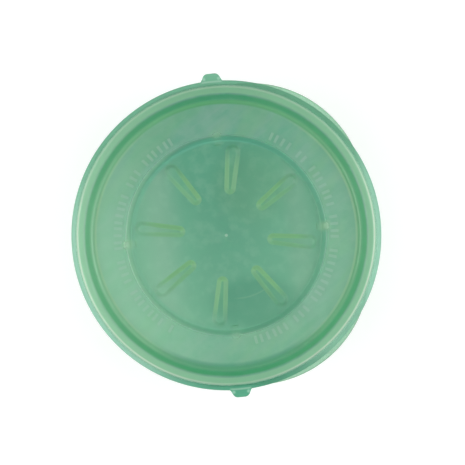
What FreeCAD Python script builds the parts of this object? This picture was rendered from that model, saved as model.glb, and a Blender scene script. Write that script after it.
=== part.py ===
import FreeCAD, Part
import math
import os

# Round snap-lid food container, millimetres, +Z up, origin under the middle of the foot ring.
# Two mouldings: a tapered bowl with a rolled rim, and a lid whose channel snaps over that rim.
# The lid's pull tabs lie on +Y and -Y.

# ---- driving dimensions -----------------------------------------------------------------------
# whole container
HEIGHT = 64.0               # foot to the top of the lid's rim
# bowl
BOWL_WALL = 1.5
BOWL_UNDERSIDE = 2.0        # the floor's underside stands this far above the foot
BOWL_BASE_R = 40.4          # where wall and underside would meet with no corner radius
BOWL_BASE_CORNER = 4.5
SHOULDER_R = 53.2           # outer radius just under the stacking shoulder
SHOULDER_Z = 48.6
SHOULDER_OUT = 1.7
SHOULDER_UP = 1.8
SHOULDER_CORNER = 2.0
BEAD_R = 56.2               # middle of the rim bead
BEAD_SECTION_R = 1.0
BEAD_GAP = 0.25             # air between the bead and the roof of the lid's channel
FOOT_IN_R = 34.0
FOOT_OUT_R = 36.4
FOOT_EDGE = 0.4
# bowl's collar and its two grips
COLLAR_R = 58.9
COLLAR_Z = 55.0
COLLAR_THICK = 1.3
COLLAR_EDGE = 0.4
COLLAR_HOLE_R = 55.0        # inside the bowl's wall
GRIP_REACH = 62.15          # how far a grip stands from the container's axis
GRIP_OUTLINE_R = 44.95
GRIP_SPREAD = 54.0          # each grip's middle, either side of the pair's middle
GRIP_TURN = -2.5            # the pair's middle, from +X
GRIP_BLEND = 8.0
# lid
LID_WALL = 0.9
LID_R = 60.4                # edge of the skirt's flared lip
LIP_Z = HEIGHT - 6.3        # upper face at the lip's edge
LIP_FALL = 0.2              # the lip slopes down by this much
PANEL_Z = HEIGHT - 4.8
RECESS_Z = HEIGHT - 7.6
RECESS_R = 37.1             # foot of the step round the recess
RECESS_CORNER = 0.8
STEP_R = 38.9               # top of that step
STEP_CORNER = 1.2
PLUG_FOOT_R = 52.4          # where the panel turns up into the plug wall
PLUG_FOOT_CORNER = 1.6
PLUG_TOP_R = 54.9
PLUG_TOP_CORNER = 1.3
SKIRT_TOP_R = 58.1
SKIRT_TOP_CORNER = 1.5
SKIRT_FOOT_R = 58.7
SKIRT_FOOT_CORNER = 0.6
SNAP_R = 57.4               # innermost reach of the snap ridge
SNAP_SECTION_R = 0.5
SNAP_Z = HEIGHT - 4.6
# lid's ribs, notches and tabs
RIB_COUNT = 8
RIB_FIRST = -10.0           # degrees from +X
RIB_IN_R = 16.0
RIB_OUT_R = 35.6
RIB_IN_HALF = 2.3           # half widths of its foot and of its crest, which widen outwards
RIB_OUT_HALF = 2.9
CREST_IN_HALF = 0.35
CREST_OUT_HALF = 1.3
RIB_HEIGHT = 1.1
NOTCH_COUNT = 4
NOTCH_WIDTH = 3.0
NOTCH_START = 1.0           # how far inside the step's foot a notch begins
NOTCH_REACH = 1.0           # how far a notch runs out past the step
TAB_R = 63.3
TAB_BASE_HALF = 4.2
TAB_TIP_HALF = 2.4
TAB_CORNER = 1.4
TAB_ROOT = 1.2              # radius between tab and lip
TAB_SPAN_HALF = 6.5         # half the stretch of lip that carries the tab
TAB_FLARE = 0.3

Z_AXIS = FreeCAD.Vector(0, 0, 1)
CENTRE = FreeCAD.Vector(0, 0, 0)


# ---- outlines ---------------------------------------------------------------------------------
def rounded(corners, closed=False):
    """A wire through corners given as (point, radius), each corner turned into a tangent arc."""
    points = [point for point, radius in corners]
    count = len(points)
    starts, ends, arcs = [], [], []
    for i, (point, radius) in enumerate(corners):
        if radius == 0:
            starts.append(point)
            ends.append(point)
            arcs.append(None)
            continue
        back = (points[i - 1] - point).normalize()
        ahead = (points[(i + 1) % count] - point).normalize()
        half = back.getAngle(ahead) / 2
        towards = (back + ahead).normalize()
        starts.append(point + back * (radius / math.tan(half)))
        ends.append(point + ahead * (radius / math.tan(half)))
        nearest = point + towards * (radius / math.sin(half) - radius)
        arcs.append(Part.Arc(starts[i], nearest, ends[i]).toShape())
    edges = []
    for i in range(count):
        if arcs[i]:
            edges.append(arcs[i])
        following = (i + 1) % count
        if following == 0 and not closed:
            break
        edges.append(Part.LineSegment(ends[i], starts[following]).toShape())
    return Part.Wire(edges)


def profile(*corners):
    """Corners (r, z, corner radius) of a line in the XZ half plane."""
    return rounded([(FreeCAD.Vector(r, 0, z), radius) for r, z, radius in corners])


def turned(face):
    return face.revolve(CENTRE, Z_AXIS, 360)


def wall(line, thickness):
    """The turned wall of even thickness on the left of a line that runs out from the axis."""
    return turned(line.makeOffset2D(thickness, 0, True, True))


def ring(section_r, middle_r, z):
    return Part.makeTorus(middle_r, section_r, FreeCAD.Vector(0, 0, z))


def disc(radius, height, z, x=0.0, y=0.0):
    return Part.makeCylinder(radius, height, FreeCAD.Vector(x, y, z))


def repeated(shape, count, first=0.0):
    """Copies of a shape that lies on +X, evenly spaced round the axis."""
    copies = []
    for i in range(count):
        copy = shape.copy()
        copy.rotate(CENTRE, Z_AXIS, first + 360.0 / count * i)
        copies.append(copy)
    return copies


# ---- bowl -------------------------------------------------------------------------------------
def bowl_shell():
    bead_z = HEIGHT - LID_WALL - BEAD_GAP - BEAD_SECTION_R
    line = profile(
        (0, BOWL_UNDERSIDE, 0),
        (BOWL_BASE_R, BOWL_UNDERSIDE, BOWL_BASE_CORNER),
        (SHOULDER_R, SHOULDER_Z, SHOULDER_CORNER),
        (SHOULDER_R + SHOULDER_OUT, SHOULDER_Z + SHOULDER_UP, SHOULDER_CORNER),
        (BEAD_R + BEAD_SECTION_R / 2, bead_z, 0),
    )
    return wall(line, BOWL_WALL).fuse(ring(BEAD_SECTION_R, BEAD_R, bead_z))


def foot_ring():
    height = BOWL_UNDERSIDE + BOWL_WALL / 2
    foot = disc(FOOT_OUT_R, height, 0).cut(disc(FOOT_IN_R, height, 0))
    return foot.makeFillet(FOOT_EDGE, [edge for edge in foot.Edges if edge.BoundBox.ZMax < 0.01])


def hollow_corners(plate):
    """Upright edges where two faces meet, which leaves out a cylinder's own seam."""
    return [edge for edge in plate.Edges
            if edge.BoundBox.ZLength > COLLAR_THICK / 2
            and len(plate.ancestorsOfType(edge, Part.Face)) == 2]


def collar_with_grips():
    plate = disc(COLLAR_R, COLLAR_THICK, COLLAR_Z)
    offset = GRIP_REACH - GRIP_OUTLINE_R
    for side in (1, -1):
        angle = math.radians(GRIP_TURN + side * GRIP_SPREAD)
        x, y = offset * math.cos(angle), offset * math.sin(angle)
        plate = plate.fuse(disc(GRIP_OUTLINE_R, COLLAR_THICK, COLLAR_Z, x, y))
    plate = plate.removeSplitter()
    plate = plate.makeFillet(GRIP_BLEND, hollow_corners(plate))
    level = [edge for edge in plate.Edges if edge.BoundBox.ZLength < COLLAR_THICK / 2]
    plate = plate.makeFillet(COLLAR_EDGE, level)
    return plate.cut(disc(COLLAR_HOLE_R, COLLAR_THICK, COLLAR_Z))


def make_bowl():
    return bowl_shell().fuse([foot_ring(), collar_with_grips()]).removeSplitter()


# ---- lid --------------------------------------------------------------------------------------
def lid_line():
    """The lid's upper face, from the axis out to the edge of the lip."""
    return profile(
        (0, RECESS_Z, 0),
        (RECESS_R, RECESS_Z, RECESS_CORNER),
        (STEP_R, PANEL_Z, STEP_CORNER),
        (PLUG_FOOT_R, PANEL_Z, PLUG_FOOT_CORNER),
        (PLUG_TOP_R, HEIGHT, PLUG_TOP_CORNER),
        (SKIRT_TOP_R, HEIGHT, SKIRT_TOP_CORNER),
        (SKIRT_FOOT_R, LIP_Z + LIP_FALL, SKIRT_FOOT_CORNER),
        (LID_R, LIP_Z, 0),
    )


def lid_shell():
    ridge = ring(SNAP_SECTION_R, SNAP_R + SNAP_SECTION_R, SNAP_Z)
    return wall(lid_line(), -LID_WALL).fuse(ridge)


def space_over_recess():
    """All that lies above the recess, its step and the panel."""
    edges = lid_line().Edges
    panel_end = STEP_R + 2 * NOTCH_REACH
    floor = [edge for edge in edges if edge.BoundBox.XMax < STEP_R + NOTCH_REACH]
    last = floor[-1].lastVertex().Point
    corners = [last, FreeCAD.Vector(panel_end, 0, PANEL_Z), FreeCAD.Vector(panel_end, 0, HEIGHT),
               FreeCAD.Vector(0, 0, HEIGHT), floor[0].firstVertex().Point]
    lid = Part.makePolygon(corners).Edges
    return turned(Part.Face(Part.Wire(floor + lid)))


def stadium(in_half, out_half, z):
    """A round-ended outline along +X, over a rib's length, of these half widths at its ends."""
    inner = FreeCAD.Vector(RIB_IN_R + RIB_IN_HALF, 0, z)
    outer = FreeCAD.Vector(RIB_OUT_R - RIB_OUT_HALF, 0, z)
    in_side, out_side = FreeCAD.Vector(0, in_half, 0), FreeCAD.Vector(0, out_half, 0)
    in_reach, out_reach = FreeCAD.Vector(in_half, 0, 0), FreeCAD.Vector(out_half, 0, 0)
    return Part.Wire([
        Part.LineSegment(inner - in_side, outer - out_side).toShape(),
        Part.Arc(outer - out_side, outer + out_reach, outer + out_side).toShape(),
        Part.LineSegment(outer + out_side, inner + in_side).toShape(),
        Part.Arc(inner + in_side, inner - in_reach, inner - in_side).toShape(),
    ])


def rib():
    """A low bar with sloped flanks and round ends, lying along +X."""
    sunk = stadium(RIB_IN_HALF, RIB_OUT_HALF, RECESS_Z - LID_WALL / 2)
    crest = stadium(CREST_IN_HALF, CREST_OUT_HALF, RECESS_Z + RIB_HEIGHT)
    return Part.makeLoft([sunk, crest], True, True)


def notch(drop):
    """A wedge on +X from the recess's floor up to the panel, past the step, let down by drop."""
    inner, outer = RECESS_R - NOTCH_START, STEP_R + NOTCH_REACH
    half = NOTCH_WIDTH / 2 + drop
    corners = [(inner, RECESS_Z), (outer, PANEL_Z), (inner, PANEL_Z)]
    points = [FreeCAD.Vector(x, -half, z - drop) for x, z in corners]
    face = Part.Face(Part.makePolygon(points + points[:1]))
    return face.extrude(FreeCAD.Vector(0, 2 * half, 0))


def tab():
    """A thumb tab on +X, growing out of the lip."""
    root_x = math.sqrt(LID_R ** 2 - TAB_BASE_HALF ** 2)
    half = [(SKIRT_FOOT_R, TAB_SPAN_HALF, 0), (root_x - TAB_FLARE, TAB_SPAN_HALF, 0),
            (root_x, TAB_BASE_HALF, TAB_ROOT), (TAB_R, TAB_TIP_HALF, TAB_CORNER)]
    corners = half + [(x, -y, radius) for x, y, radius in reversed(half)]
    underside = LIP_Z - LID_WALL
    outline = rounded([(FreeCAD.Vector(x, y, underside), radius) for x, y, radius in corners], True)
    return Part.Face(outline).extrude(FreeCAD.Vector(0, 0, LID_WALL))


def make_lid():
    backs = Part.makeCompound(repeated(notch(LID_WALL), NOTCH_COUNT)).cut(space_over_recess())
    notches = Part.makeCompound(repeated(notch(0), NOTCH_COUNT))
    lid = lid_shell().fuse(backs).cut(notches)
    lid = lid.fuse(repeated(rib(), RIB_COUNT, RIB_FIRST))
    return lid.fuse(repeated(tab(), 2, 90.0)).removeSplitter()


# ---- files ------------------------------------------------------------------------------------
os.makedirs("parts", exist_ok=True)
make_bowl().exportStep("parts/bowl.step")
make_lid().exportStep("parts/lid.step")
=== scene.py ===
import math

import bpy
from mathutils import Matrix, Vector


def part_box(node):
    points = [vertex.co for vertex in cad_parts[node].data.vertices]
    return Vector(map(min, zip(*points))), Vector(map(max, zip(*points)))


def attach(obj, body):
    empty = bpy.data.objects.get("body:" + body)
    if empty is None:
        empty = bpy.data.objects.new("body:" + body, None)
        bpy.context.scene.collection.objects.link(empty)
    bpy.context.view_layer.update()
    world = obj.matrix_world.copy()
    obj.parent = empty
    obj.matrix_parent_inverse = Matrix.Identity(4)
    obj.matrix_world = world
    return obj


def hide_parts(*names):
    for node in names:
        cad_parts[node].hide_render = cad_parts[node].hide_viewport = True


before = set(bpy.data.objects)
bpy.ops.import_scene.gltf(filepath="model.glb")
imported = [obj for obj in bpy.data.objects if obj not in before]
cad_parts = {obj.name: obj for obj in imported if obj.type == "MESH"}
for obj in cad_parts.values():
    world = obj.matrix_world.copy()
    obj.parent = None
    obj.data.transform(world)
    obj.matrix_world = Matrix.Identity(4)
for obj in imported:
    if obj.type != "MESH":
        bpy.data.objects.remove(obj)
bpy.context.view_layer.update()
MM = 0.001

# ---- bowl -------------------------------------------------------------------------------------
# The bowl is one injection moulding in jade-green translucent polypropylene, about 1.5 mm thick:
# a foot ring, a tapered wall with a stacking shoulder, a thin collar and a rolled rim bead.
bowl_low, bowl_high = (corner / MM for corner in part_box("bowl"))
BOWL_SIDES = 384
FOOT_IN_R = 34.0
FOOT_OUT_R = 36.4
WALL_FOOT_R = 40.4
UNDERSIDE_Z = 2.0
FLOOR_Z = 3.5
COLLAR_TOP = 56.3
COLLAR_FOOT = COLLAR_TOP - 1.3
BEAD_R = 57.2
BEAD_HIGH = 2.0
collar_r = bowl_high.x
rim_z = bowl_high.z


def rounded(corners, turn_step=12.0):
    """Points of an outline whose corners (x, y, radius) become arcs; (x, y) alone stays a point.
    An arc has a point at least every turn_step degrees."""
    points = [Vector(corner[:2]) for corner in corners]
    outline = []
    for i, corner in enumerate(corners):
        radius = corner[2] if len(corner) > 2 else 0
        if not radius:
            outline.append(points[i])
            continue
        back = (points[i - 1] - points[i]).normalized()
        ahead = (points[(i + 1) % len(points)] - points[i]).normalized()
        half = back.angle(ahead) / 2
        middle = points[i] + (back + ahead).normalized() * radius / math.sin(half)
        start = points[i] + back * radius / math.tan(half)
        turn = math.pi - 2 * half
        side = math.copysign(1, back.x * ahead.y - back.y * ahead.x)
        steps = max(2, math.ceil(math.degrees(turn) / turn_step))
        for k in range(steps + 1):
            angle = -side * turn * k / steps
            spoke = start - middle
            outline.append(middle + Vector((
                spoke.x * math.cos(angle) - spoke.y * math.sin(angle),
                spoke.x * math.sin(angle) + spoke.y * math.cos(angle))))
    return outline


def turned(name, line, sides, closed):
    """A round piece, turned ring by ring from a line (radius, height) in mm that starts at its hub."""
    bpy.ops.object.select_all(action="DESELECT")
    bpy.ops.mesh.primitive_circle_add(
        vertices=sides, radius=line[0].x * MM, fill_type="TRIFAN", enter_editmode=True)
    piece = bpy.context.object
    piece.name = name
    bpy.ops.mesh.select_mode(type="EDGE")
    bpy.ops.transform.translate(value=(0, 0, line[0].y * MM))
    bpy.ops.mesh.region_to_loop()
    for last, ring in zip(line, line[1:]):
        bpy.ops.mesh.extrude_region()
        grow = ring.x / last.x
        bpy.ops.transform.resize(value=(grow, grow, 1), center_override=(0, 0, last.y * MM))
        bpy.ops.transform.translate(value=(0, 0, (ring.y - last.y) * MM))
    if closed:
        bpy.ops.mesh.extrude_region()
        bpy.ops.mesh.merge(type="CENTER")
    bpy.ops.mesh.select_all(action="SELECT")
    bpy.ops.mesh.normals_make_consistent(inside=False)
    bpy.ops.object.mode_set(mode="OBJECT")
    return piece


# The line goes out from the gate mark under the floor, round the foot ring, up the outside, over
# the collar and the bead, and down the inside to the middle of the floor.
bowl = turned("bowl_shell", rounded([
    (0.6, 1.65), (1.1, 1.65, 0.15), (1.25, UNDERSIDE_Z, 0.1),
    (FOOT_IN_R, UNDERSIDE_Z, 0.5), (FOOT_IN_R, bowl_low.z, 0.5), (FOOT_OUT_R, bowl_low.z, 0.5),
    (FOOT_OUT_R, UNDERSIDE_Z, 0.3), (WALL_FOOT_R, UNDERSIDE_Z, 4.5),
    (53.2, 48.6, 2.5), (54.9, 50.4, 2.5),
    (55.62, COLLAR_FOOT, 0.5), (collar_r, COLLAR_FOOT, 0.45),
    (collar_r, COLLAR_TOP, 0.45), (55.83, COLLAR_TOP, 0.4),
    (56.5, rim_z - BEAD_HIGH, 0.3), (BEAD_R, rim_z - BEAD_HIGH, 0.65),
    (BEAD_R, rim_z, 0.95), (BEAD_R - BEAD_HIGH, rim_z, 0.95),
    (53.49, 51.09, 2.5), (51.85, 49.36, 2.5), (39.26, FLOOR_Z, 3.6), (0.6, FLOOR_Z),
]), BOWL_SIDES, closed=True)

# The two crescent grips are the collar drawn outwards, each to an arc of its own.
GRIP_ARC_R = 44.95
GRIP_REACH = 62.15
GRIP_MIDDLES = (51.5, -56.5)
GRIP_BLEND = 0.25
COLLAR_ROOT = 56.2


def collar_outline(angle):
    """How far the collar's edge stands from the axis, in this direction."""
    reach = collar_r
    off = GRIP_REACH - GRIP_ARC_R
    for middle in GRIP_MIDDLES:
        turn = angle - math.radians(middle)
        arc = off * math.cos(turn) + math.sqrt(GRIP_ARC_R ** 2 - (off * math.sin(turn)) ** 2)
        soft = max(GRIP_BLEND - abs(arc - reach), 0) / GRIP_BLEND
        reach = max(arc, reach) + soft * soft * GRIP_BLEND / 4
    return reach


for vertex in bowl.data.vertices:
    radius = math.hypot(vertex.co.x, vertex.co.y) / MM
    height = vertex.co.z / MM
    if radius > COLLAR_ROOT and height < COLLAR_TOP + 0.1:
        share = (radius - COLLAR_ROOT) / (collar_r - COLLAR_ROOT)
        outline = collar_outline(math.atan2(vertex.co.y, vertex.co.x))
        grow = (radius + share * (outline - collar_r)) / radius
        vertex.co.x *= grow
        vertex.co.y *= grow


class Socket:
    """A shader value. Arithmetic on it adds the Math nodes that work it out."""

    def __init__(self, finish, socket):
        self.finish = finish
        self.socket = socket

    def maths(self, operation, *terms):
        return self.finish.node("ShaderNodeMath", {"operation": operation}, dict(enumerate(terms)))

    def __add__(self, other):
        return self.maths("ADD", self, other)

    def __sub__(self, other):
        return self.maths("SUBTRACT", self, other)

    def __rsub__(self, other):
        return self.maths("SUBTRACT", other, self)

    def __mul__(self, other):
        return self.maths("MULTIPLY", self, other)

    def __truediv__(self, other):
        return self.maths("DIVIDE", self, other)

    def __pow__(self, other):
        return self.maths("POWER", self, other)

    def __abs__(self):
        return self.maths("ABSOLUTE", self)

    __radd__ = __add__
    __rmul__ = __mul__

    def lesser(self, other):
        return self.maths("MINIMUM", self, other)

    def rise(self, low, high):
        """0 below low, 1 above high, and a smooth rise between them."""
        return self.finish.node("ShaderNodeMapRange", {"interpolation_type": "SMOOTHSTEP"},
                                {"Value": self, "From Min": low, "From Max": high})

    def band(self, low, high, soft):
        """1 between low and high, 0 outside them, with soft edges."""
        return self.rise(low - soft, low + soft) * (1 - self.rise(high - soft, high + soft))


class Finish:
    """A material, its nodes, and the colour and the place on the piece that it works with."""

    def __init__(self, name):
        self.material = bpy.data.materials.new(name)
        self.material.use_nodes = True
        self.tree = self.material.node_tree
        self.shader = self.tree.nodes["Principled BSDF"]
        self.place = None
        self.colour = None

    def node(self, kind, settings, inputs, output=0):
        made = self.tree.nodes.new(kind)
        for setting, value in settings.items():
            setattr(made, setting, value)
        self.fill(made, inputs)
        return Socket(self, made.outputs[output])

    def fill(self, made, inputs):
        for key, value in inputs.items():
            if isinstance(value, Socket):
                self.tree.links.new(value.socket, made.inputs[key])
            else:
                made.inputs[key].default_value = value

    def blend(self, share, first, second):
        """A colour that goes from first to second as share goes from 0 to 1."""
        return self.node("ShaderNodeMix", {"data_type": "RGBA"}, {0: share, 6: first, 7: second}, 2)

    def tint(self, share, shade):
        """Lays a shade over the colour so far."""
        self.colour = self.blend(share, self.colour, (*shade, 1))

    def part(self, vector, axis):
        return self.node("ShaderNodeSeparateXYZ", {}, {"Vector": vector}, axis)

    def noise(self, place, scale, detail):
        return self.node("ShaderNodeTexNoise", {}, {"Vector": place, "Scale": scale, "Detail": detail})

    def stretched(self, size, turn, detail):
        """Noise whose waves have this size in mm along each axis, turned about Z."""
        drawn = self.node("ShaderNodeMapping", {"vector_type": "TEXTURE"}, {
            "Vector": self.place, "Rotation": (0, 0, turn), "Scale": [side * MM for side in size]})
        return self.noise(drawn, 1.0, detail)

    def streaks(self, along, across, turn):
        """Noise drawn out along lines that lie at an angle to X, with its two wavelengths in mm."""
        return self.stretched((along, across, across), turn, 3.0)

    def paint(self, piece):
        piece.data.materials.clear()
        piece.data.materials.append(self.material)


CLOUD = 1.05
MOTTLE_SHADE = (0.45, 0.78, 0.58)


def jade(name, green, clear):
    """Jade-green plastic: softly clouded, mottled and finely grained, and partly clear."""
    finish = Finish(name)
    finish.place = finish.node("ShaderNodeTexCoord", {}, {}, "Object")
    cloud = finish.noise(finish.place, 30.0, 2.0).rise(0.3, 0.7)
    mottle = finish.noise(finish.place, 260.0, 3.0)
    grain = finish.noise(finish.place, 900.0, 2.0)
    deeper = (*(part / CLOUD for part in green), 1)
    paler = (*(part * CLOUD for part in green), 1)
    finish.colour = finish.blend(cloud, deeper, paler)
    finish.tint(0.2 * mottle.rise(0.42, 0.72), MOTTLE_SHADE)
    bump = finish.node("ShaderNodeBump", {}, {"Strength": 0.05, "Distance": 0.0002, "Height": grain})
    finish.fill(finish.shader, {
        "Base Color": finish.colour,
        "Roughness": 0.2 + 0.08 * cloud + 0.08 * mottle,
        "IOR": 1.49,
        "Transmission Weight": clear,
        "Normal": bump,
    })
    return finish


# The bowl shows faint level lines from the mould, and slight pale wear on its foot.
LINE_SHADE = (0.30, 0.68, 0.46)
WEAR_SHADE = (0.72, 0.90, 0.80)
WEAR_TOP = 1.0
bowl_finish = jade("bowl_jade", (0.48, 0.80, 0.58), 0.72)
level = bowl_finish.part(bowl_finish.place, "Z") / MM
lines = bowl_finish.stretched((70.0, 70.0, 1.1), 0, 2.0).rise(0.4, 0.7)
wear = bowl_finish.noise(bowl_finish.place, 350.0, 2.0).rise(0.4, 0.7)
wear = wear * (1 - level.rise(0.1, WEAR_TOP))
bowl_finish.tint(0.12 * lines, LINE_SHADE)
bowl_finish.tint(0.18 * wear, WEAR_SHADE)
bowl_finish.fill(bowl_finish.shader, {
    "Base Color": bowl_finish.colour,
    "Roughness": 0.24 + 0.1 * wear,
})
bowl_finish.paint(bowl)
bpy.context.view_layer.objects.active = bowl
bowl.select_set(True)
bpy.ops.object.shade_smooth_by_angle(angle=math.radians(40))
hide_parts("bowl")
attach(bowl, "bowl")

# ---- lid --------------------------------------------------------------------------------------
# The lid is a second moulding in the same plastic, 0.9 mm thick: a channel that snaps over the
# bowl's bead, a sunk panel, and a deeper round recess with eight hollow-backed ribs.
lid_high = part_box("lid")[1] / MM
LID_SIDES = 480
LID_WALL = 0.9
top_z = lid_high.z
recess_z = top_z - 7.6
panel_z = top_z - 4.8
lip_z = top_z - 6.3
lip_r = lid_high.x
RECESS_R = 37.1
STEP_R = 38.9
SKIRT_TOP_R = 58.1
SKIRT_FOOT_R = 58.7
RIB_START = 16.0
RIB_END = 35.6
RING_STEP = 0.5
rib_zone = [(RIB_START - 0.4 + RING_STEP * k, recess_z)
            for k in range(math.ceil((RIB_END - RIB_START) / RING_STEP) + 1)]
step_zone = [(RECESS_R + share * (STEP_R - RECESS_R), recess_z + share * (panel_z - recess_z))
             for share in (0.3, 0.45, 0.6)]
SNAP_Z = top_z - 4.6
SNAP_HALF = 0.5
SNAP_REACH = 0.26
SKIRT_SLOPE = 0.098
snap_zone = [(SKIRT_TOP_R + SKIRT_SLOPE * (top_z - z), z)
             for z in (SNAP_Z + SNAP_HALF * k / 3 for k in range(3, -4, -1))]
MARK_IN_R = 40.5
MARK_OUT_R = 43.9
lid = turned("lid_shell", rounded([
    (0.35, recess_z + 0.2), (0.6, recess_z + 0.12), (0.8, recess_z), (8.0, recess_z),
    *rib_zone, (RECESS_R, recess_z, 0.8), *step_zone, (STEP_R, panel_z, 1.2),
    (39.9, panel_z), (MARK_IN_R, panel_z), (MARK_OUT_R, panel_z), (48.0, panel_z),
    (52.4, panel_z, 1.6), (54.9, top_z, 1.3), (SKIRT_TOP_R, top_z, 1.5), *snap_zone,
    (SKIRT_FOOT_R, lip_z + 0.2, 0.6), (lip_r, lip_z),
]), LID_SIDES, closed=False)

# Eight ribs, wider at their outer ends, are pressed up out of the recess's floor, and four
# notches let water run off over the step.
RIB_SPACING = 45.0
RIB_FIRST = -10.0
RIB_FOOT = (2.3, 2.9)
RIB_CREST = (0.35, 1.3)
RIB_HEIGHT = 1.1
RIB_ROUND = 0.45
NOTCH_HALF = 1.5
NOTCH_SOFT = 0.35
NOTCH_START = 36.1
NOTCH_END = 39.9


def smooth(share):
    """0 to 1, easing in and out."""
    share = min(max(share, 0.0), 1.0)
    return share * share * (3 - 2 * share)


def sector(x, y, first, spacing):
    """A point as (along, across) the nearest of the evenly spaced spokes, the first at an angle."""
    angle = math.degrees(math.atan2(y, x)) - first
    turn = math.radians(angle - spacing * round(angle / spacing))
    return math.hypot(x, y) * math.cos(turn), math.hypot(x, y) * math.sin(turn)


def rib_lift(x, y):
    along, across = sector(x, y, RIB_FIRST, RIB_SPACING)
    first, last = RIB_START + RIB_FOOT[0], RIB_END - RIB_FOOT[1]
    nearest = min(max(along, first), last)
    share = (nearest - first) / (last - first)
    foot = RIB_FOOT[0] + share * (RIB_FOOT[1] - RIB_FOOT[0])
    crest = RIB_CREST[0] + share * (RIB_CREST[1] - RIB_CREST[0])
    share = (foot - math.hypot(along - nearest, across)) / (foot - crest)
    return RIB_HEIGHT * (RIB_ROUND * smooth(share) + (1 - RIB_ROUND) * min(max(share, 0), 1))


def notched(x, y, z):
    along, across = sector(x, y, 0.0, 90.0)
    ramp = recess_z + (panel_z - recess_z) * (along - NOTCH_START) / (NOTCH_END - NOTCH_START)
    depth = max(z - ramp, 0)
    return z - depth * smooth((NOTCH_HALF + NOTCH_SOFT - abs(across)) / (2 * NOTCH_SOFT))


for vertex in lid.data.vertices:
    x, y, z = vertex.co / MM
    radius = math.hypot(x, y)
    if RIB_START < radius < RIB_END:
        z += rib_lift(x, y)
    elif RIB_END < radius < NOTCH_END:
        z = notched(x, y, z)
    vertex.co.z = z * MM

bpy.ops.object.select_all(action="DESELECT")
bpy.context.view_layer.objects.active = lid
lid.select_set(True)
wall = lid.modifiers.new("wall", "SOLIDIFY")
wall.thickness = LID_WALL * MM
wall.offset = -1
wall.use_even_offset = True
bpy.ops.object.modifier_apply(modifier="wall")

# The snap ridge runs round the inside of the skirt, where it catches under the bowl's bead.
for vertex in lid.data.vertices:
    radius = math.hypot(vertex.co.x, vertex.co.y) / MM
    off = abs(vertex.co.z / MM - SNAP_Z) / SNAP_HALF
    if SKIRT_TOP_R - LID_WALL - 0.3 < radius < SKIRT_TOP_R and off < 1:
        grow = 1 - SNAP_REACH * smooth(1 - off) / radius
        vertex.co.x *= grow
        vertex.co.y *= grow


def pick_faces(piece, wanted):
    """Goes into edit mode with only those faces selected whose middle and normal are wanted."""
    bpy.ops.object.mode_set(mode="EDIT")
    bpy.ops.mesh.select_mode(type="FACE")
    bpy.ops.mesh.select_all(action="DESELECT")
    bpy.ops.object.mode_set(mode="OBJECT")
    for face in piece.data.polygons:
        face.select = wanted(face.center / MM, face.normal)
    bpy.ops.object.mode_set(mode="EDIT")


# A plain ring of short raised bars, in groups, stands where the panel carries raised marks.
MARK_HEIGHT = 0.22
MARK_ARCS = ((-80.5, 62.5), (114.5, 234.5))
MARK_PITCH = 3.5
MARK_GROUPS = (6, 3, 9, 4, 7, 2, 8)
MARK_SPACE = 2


def mark_angles():
    """The middles of all the bars, in degrees."""
    angles = []
    for first, last in MARK_ARCS:
        angle, group = first, 0
        while angle < last:
            for bar in range(MARK_GROUPS[group % len(MARK_GROUPS)]):
                if angle < last:
                    angles.append(angle)
                angle += MARK_PITCH
            angle += MARK_PITCH * MARK_SPACE / 2
            group += 1
    return angles


side_angle = 360 / LID_SIDES
marked = set()
for angle in mark_angles():
    first = round(angle / side_angle)
    marked.update(((first + k) % LID_SIDES) for k in (0, 1))


def on_mark(middle, normal):
    radius = math.hypot(middle.x, middle.y)
    side = math.floor(math.degrees(math.atan2(middle.y, middle.x)) / side_angle) % LID_SIDES
    return normal.z > 0.9 and MARK_IN_R < radius < MARK_OUT_R and side in marked


pick_faces(lid, on_mark)
bpy.ops.mesh.extrude_region()
bpy.ops.transform.translate(value=(0, 0, MARK_HEIGHT * MM))
bpy.ops.object.mode_set(mode="OBJECT")

# Two thumb tabs grow out of the lip, on +Y and -Y, a little below its face.
TAB_TOP = lip_z - 0.12
TAB_ROOT_HALF = 4.2
TAB_TIP_HALF = 2.65
TAB_EDGE = 0.35
tab_root_y = math.sqrt(lip_r ** 2 - TAB_ROOT_HALF ** 2)
tab_half = [(5.5, SKIRT_FOOT_R - 0.2), (6.3, tab_root_y - 0.35), (TAB_ROOT_HALF, tab_root_y, 0.8),
            (TAB_TIP_HALF, lid_high.y, 2.1)]
tab_corners = tab_half + [(-corner[0], *corner[1:]) for corner in reversed(tab_half)]


def slab(name, outline, low, high):
    """A flat closed piece with this outline (x, y in mm) between two levels."""
    bpy.ops.object.select_all(action="DESELECT")
    bpy.ops.mesh.primitive_circle_add(vertices=len(outline), radius=MM, fill_type="NGON")
    piece = bpy.context.object
    piece.name = name
    for vertex, point in zip(piece.data.vertices, outline):
        vertex.co = (point.x * MM, point.y * MM, low * MM)
    bpy.ops.object.mode_set(mode="EDIT")
    bpy.ops.mesh.select_all(action="SELECT")
    bpy.ops.mesh.extrude_region()
    bpy.ops.transform.translate(value=(0, 0, (high - low) * MM))
    bpy.ops.mesh.select_all(action="SELECT")
    bpy.ops.mesh.normals_make_consistent(inside=False)
    bpy.ops.object.mode_set(mode="OBJECT")
    return piece


def join_on(piece, other):
    """Fuses a second closed mesh into a piece."""
    bpy.ops.object.select_all(action="DESELECT")
    bpy.context.view_layer.objects.active = piece
    piece.select_set(True)
    union = piece.modifiers.new("union", "BOOLEAN")
    union.operation = "UNION"
    union.solver = "EXACT"
    union.object = other
    bpy.ops.object.modifier_apply(modifier="union")
    bpy.data.objects.remove(other)


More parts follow.
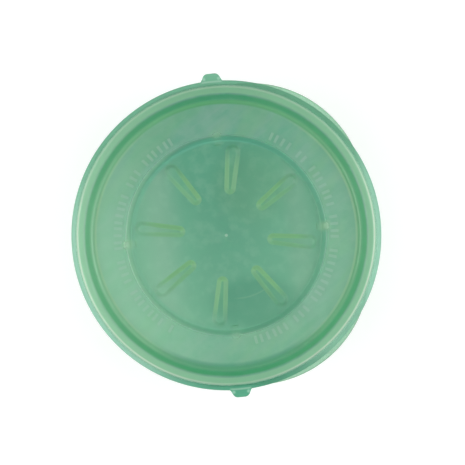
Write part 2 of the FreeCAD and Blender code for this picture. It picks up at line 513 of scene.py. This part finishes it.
for side in (1, -1):
    corners = [(side * corner[0], side * corner[1], *corner[2:]) for corner in tab_corners]
    tab = slab("tab", rounded(corners, 15.0), lip_z - LID_WALL, TAB_TOP)
    rim = tab.modifiers.new("rim", "BEVEL")
    rim.width = TAB_EDGE * MM
    rim.segments = 3
    rim.limit_method = "ANGLE"
    rim.angle_limit = math.radians(60)
    bpy.ops.object.modifier_apply(modifier="rim")
    join_on(lid, tab)

# The lid's colour follows its form: the plastic is milky where it is thick, deep at the steep walls,
# partly as painted shade, and yellowish where it bends; painted light, shade and highlights lie over
# this. A zone is (from, to, softness) in mm.
lid_finish = jade("lid_jade", (0.14, 0.50, 0.33), 0.5)
x, y, z = (lid_finish.part(lid_finish.place, axis) / MM for axis in "XYZ")
normal = lid_finish.node("ShaderNodeTexCoord", {}, {}, "Normal")
bent = (1 - abs(lid_finish.part(normal, "Z"))).rise(0.01, 0.05)
radius = (x * x + y * y) ** 0.5


def away(middle_x, middle_y, half_x=1.0, half_y=1.0):
    """How far a place is from a middle, in mm, or in half-widths where those are given."""
    across = (x - middle_x) / half_x
    along = (y - middle_y) / half_y
    return (across * across + along * along) ** 0.5


# Outside the recess's step line the panel is milky, in streaks and mottles, and in places warmer.
STEP_LINE_R = 37.4
STEP_LINE_SHIFT = 0.9
MILK = (0.30, 0.56, 0.45)
WARM = (0.26, 0.60, 0.33)
step_line = away(STEP_LINE_SHIFT, 0.0)
panel = step_line.rise(STEP_LINE_R + 0.4, STEP_LINE_R + 1.8)
streak = lid_finish.streaks(45.0, 5.0, 0.55)
mottle = lid_finish.noise(lid_finish.place, 200.0, 3.0)
lid_finish.tint(panel * (0.5 + 1.8 * (streak - 0.5) + 0.8 * (mottle - 0.5)), MILK)
warm_streak = lid_finish.streaks(30.0, 9.0, 0.9).rise(0.48, 0.66)
lid_finish.tint(0.35 * panel * warm_streak, WARM)

# The recess's floor carries painted reflections: pale bands of the side lights at both sides, and a
# dark patch on each half.
REFLECTION_LOW_X = (-31.0, -20.0, 6.0)
REFLECTION_HIGH_X = (24.0, 33.0, 3.0)
inside = 1 - radius.rise(RIB_END + 0.2, RIB_END + 1.0)
lid_finish.tint(0.30 * inside * x.band(*REFLECTION_LOW_X), (0.48, 0.59, 0.51))
lid_finish.tint(0.25 * inside * x.band(*REFLECTION_HIGH_X), (0.35, 0.52, 0.41))
# Painted dark reflections: a deep patch low on the recess's floor and a smaller one towards +X and +Y.
lid_finish.tint(0.6 * (1 - away(9.0, -27.0, 19.5, 11.0).rise(0.6, 1.15)), (0.02, 0.33, 0.20))
lid_finish.tint(0.25 * (1 - away(12.0, 18.0).rise(8.0, 20.0)), (0.18, 0.45, 0.23))

# The wall between panel and rim is yellowish at its foot, and deep green above, partly the plastic
# seen through the steep wall and partly painted shade, deepest towards the sides and -Y.
WALL_FOOT = (51.1, 52.8, 0.4)
WALL = (52.9, 54.6, 0.5)
WALL_R = 54.0
deep = radius.band(*WALL)
lid_finish.tint(radius.band(*WALL_FOOT), (0.15, 0.54, 0.25))
lid_finish.tint(deep * (0.65 + 0.35 * abs(x) / WALL_R - 0.15 * y / WALL_R), (0.03, 0.51, 0.19))

# The step's steep wall has a dark line, partly the plastic seen through the wall and partly painted
# shade, darkest towards +Y. It is broken by painted highlights on the notches, and the rim's top is
# even and pale.
STEP_LINE_HALF = 0.9
RIM_TOP = (55.2, 58.0, 0.3)
step = step_line.band(STEP_LINE_R - STEP_LINE_HALF, STEP_LINE_R + STEP_LINE_HALF, 0.35)
lid_finish.tint(step * (0.55 + 0.35 * y / STEP_R), (0.18, 0.59, 0.43))
notch = 1 - abs(x).lesser(abs(y)).rise(0.5, 2.8)
notch = notch * radius.band(NOTCH_START + 0.6, NOTCH_END + 0.4, 1.4)
# Painted highlights on the notches, strongest towards the sides.
lid_finish.tint(notch * (0.2 + 0.5 * abs(x) / STEP_R), (0.44, 0.69, 0.43))
lid_finish.tint(radius.band(*RIM_TOP), (0.30, 0.66, 0.41))

# Painted light and shade: the whole lid is painted paler towards its sides, most of all towards -X,
# with a painted highlight on the step's top towards -X and painted shade at the panel's -Y edge.
STEP_TOP = (37.9, 39.0, 0.4)
PANEL_SHADE = (50.0, 52.6, 0.8)
PALE_R = 55.0
sideways = (x * x + 60.0) ** 0.5
# A painted highlight on the step's top, towards -X.
lid_finish.tint(0.4 * radius.band(*STEP_TOP) * (1 - x.rise(-36.0, -8.0)), (0.58, 0.95, 0.70))
painted_pale_sides = sideways - y * (0.45 - 0.3 * radius.rise(49.0, 52.0))
painted_pale_sides = painted_pale_sides * (1 - 0.3 * deep * (1 - x.rise(-20.0, 20.0)))
lid_finish.tint(0.48 * painted_pale_sides / PALE_R * (0.95 - 0.35 * x / PALE_R), (0.52, 0.93, 0.64))
# Painted shade along the panel's -Y edge.
lid_finish.tint(0.55 * radius.band(*PANEL_SHADE) * (1 - y.rise(-50.0, -38.0)), (0.08, 0.42, 0.26))

# The ribs' flanks are yellowish, partly the plastic's tint where it bends and partly a painted
# highlight, strongest on the flanks facing +Y, and fade at the ribs' outer ends.
upward = lid_finish.part(normal, "Y").rise(-0.2, 0.3)
flank = inside * bent * radius.rise(8.0, 12.0) * (1 - 0.85 * radius.rise(26.0, 34.5))
lid_finish.tint(flank * (0.6 + 0.35 * upward), (0.30, 0.67, 0.33))
crest = inside * (1 - bent) * z.rise(recess_z + 0.6, recess_z + 0.95)
lid_finish.tint(crest * (0.45 - 0.3 * radius.rise(20.0, 32.0)), (0.20, 0.54, 0.28))

# Painted highlights run as thin pale lines along the panel's edge, towards the sides, and along the
# rim's outer edge. The skirt and lip are plain green, with painted light on the sides and painted
# shade towards -Y.
PANEL_EDGE = (50.4, 51.2, 0.3)
RIM_HIGHLIGHT = (57.3, 57.9, 0.25)
painted_side_light = (sideways - 0.45 * y).rise(28.0, 62.0)
lip = radius.rise(SKIRT_TOP_R - 0.1, SKIRT_TOP_R + 0.3)
# A painted highlight along the panel's edge, towards the sides.
lid_finish.tint(0.5 * radius.band(*PANEL_EDGE) * abs(x).rise(20.0, 50.0), (0.54, 0.85, 0.51))
# A painted highlight along the rim's outer edge, strongest on the sides.
lid_finish.tint(radius.band(*RIM_HIGHLIGHT) * (0.3 + 0.6 * painted_side_light), (0.80, 0.97, 0.77))
lid_finish.tint(radius.rise(SKIRT_TOP_R - 0.2, SKIRT_TOP_R + 0.2), (0.21, 0.60, 0.37))
lid_finish.tint(radius.rise(SKIRT_FOOT_R - 0.1, SKIRT_FOOT_R + 0.2), (0.23, 0.59, 0.39))
# Painted light on the lip's sides and painted shade towards -Y.
lid_finish.tint(0.6 * lip * painted_side_light, (0.54, 0.88, 0.72))
lid_finish.tint(0.6 * lip * (1 - y.rise(-60.0, -45.0)), (0.03, 0.42, 0.24))

# Each tab has a painted highlight along its root and a painted highlight near each corner.
TAB_LINE = (59.7, 60.4, 0.25)
TAB_SPOT_X = 2.9
TAB_SPOT_Y = 61.2
spot_x = abs(x) - TAB_SPOT_X
spot_y = abs(y) - TAB_SPOT_Y
corner_glint = (spot_x * spot_x + spot_y * spot_y) ** 0.5
lid_finish.tint(0.45 * radius.band(*TAB_LINE) * (1 - abs(x).rise(3.4, 4.6)), (0.62, 0.90, 0.74))
lid_finish.tint(0.5 * (1 - corner_glint.rise(0.3, 0.9)), (0.62, 0.93, 0.78))

# Fine scratches cross the lid, a faint pale arc on the recess's floor is a painted reflection, and the
# raised bars and the gate mark are pale.
REFLECTION_ARC = (20.7, 21.1, 0.3)
scratch = lid_finish.streaks(30.0, 0.3, 0.55) * lid_finish.streaks(22.0, 0.35, 0.15)
lid_finish.tint(0.03 * scratch.rise(0.34, 0.46), (0.63, 0.85, 0.71))
arc = away(3.0, -4.0).band(*REFLECTION_ARC) * x.band(2.0, 13.0, 2.0) * (1 - y.rise(-16.0, -11.0))
lid_finish.tint(0.3 * arc, (0.46, 0.74, 0.54))
raised = z.rise(panel_z + 0.1, panel_z + 0.2) * radius.band(MARK_IN_R, MARK_OUT_R, 0.6)
lid_finish.tint(0.35 * raised, (0.57, 0.77, 0.67))
gate = z.rise(recess_z + 0.08, recess_z + 0.15) * (1 - radius.rise(0.5, 0.9))
lid_finish.tint(gate, (0.46, 0.75, 0.58))
recess = 1 - radius.rise(STEP_R - 0.3, STEP_R + 0.5)
lid_finish.fill(lid_finish.shader, {
    "Base Color": lid_finish.colour,
    "Roughness": 0.18 + 0.06 * mottle + 0.24 * recess + 0.1 * notch,
})
lid_finish.paint(lid)
bpy.ops.object.select_all(action="DESELECT")
bpy.context.view_layer.objects.active = lid
lid.select_set(True)
bpy.ops.object.shade_smooth_by_angle(angle=math.radians(40))
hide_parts("lid")
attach(lid, "lid")

# ---- studio -----------------------------------------------------------------------------------
# A plain white table under an even pale sky, with a broad soft light at each side.
bpy.ops.object.select_all(action="DESELECT")
bpy.ops.mesh.primitive_plane_add(size=6.0)
table = bpy.context.object
table.name = "table"
table_finish = Finish("table_white")
table_finish.fill(table_finish.shader, {
    "Base Color": (0.9, 0.9, 0.9, 1),
    "Roughness": 0.7,
    "Emission Color": (1, 1, 1, 1),
    "Emission Strength": 0.25,
})
table_finish.paint(table)

scene = bpy.context.scene
scene.view_settings.view_transform = "Standard"
scene.world = bpy.data.worlds.new("studio")
scene.world.use_nodes = True
sky = scene.world.node_tree.nodes["Background"]
sky.inputs["Color"].default_value = (1, 1, 1, 1)
sky.inputs["Strength"].default_value = 0.73


def softbox(name, place, width, watts):
    """A square light at one side of the table, turned to face the container."""
    bpy.ops.object.light_add(type="AREA", location=place)
    light = bpy.context.object
    light.name = name
    light.data.size = width
    light.data.energy = watts
    light.visible_camera = False
    light.rotation_euler = (Vector((0, 0, 0.05)) - light.location).to_track_quat("-Z", "Y").to_euler()


LIGHT_WIDTH = 0.22
LIGHT_WATTS = 0.36
softbox("left_light", (-0.26, -0.01, 0.25), LIGHT_WIDTH, LIGHT_WATTS)
softbox("right_light", (0.26, -0.01, 0.25), LIGHT_WIDTH, LIGHT_WATTS)

# The camera looks down on the lid through a long lens, a little rolled and off the axis.
VIEW_WIDTH = 0.1811
DISTANCE = 1.2
ROLL = math.radians(5.5)
TILT = math.radians(1.2)
AIM_X = 2.45
AIM_Y = 1.09
aim = Vector((AIM_X, AIM_Y, lip_z)) * MM
aim.rotate(Matrix.Rotation(-ROLL, 3, "Z"))
bpy.ops.object.camera_add(location=(0, 0, 0), rotation=(0, TILT, -ROLL))
camera = bpy.context.object
camera.name = "camera"
camera.data.lens = camera.data.sensor_width * DISTANCE / VIEW_WIDTH
bpy.context.view_layer.update()
camera.location = aim + camera.matrix_world.to_3x3() @ Vector((0, 0, DISTANCE))
scene.camera = camera
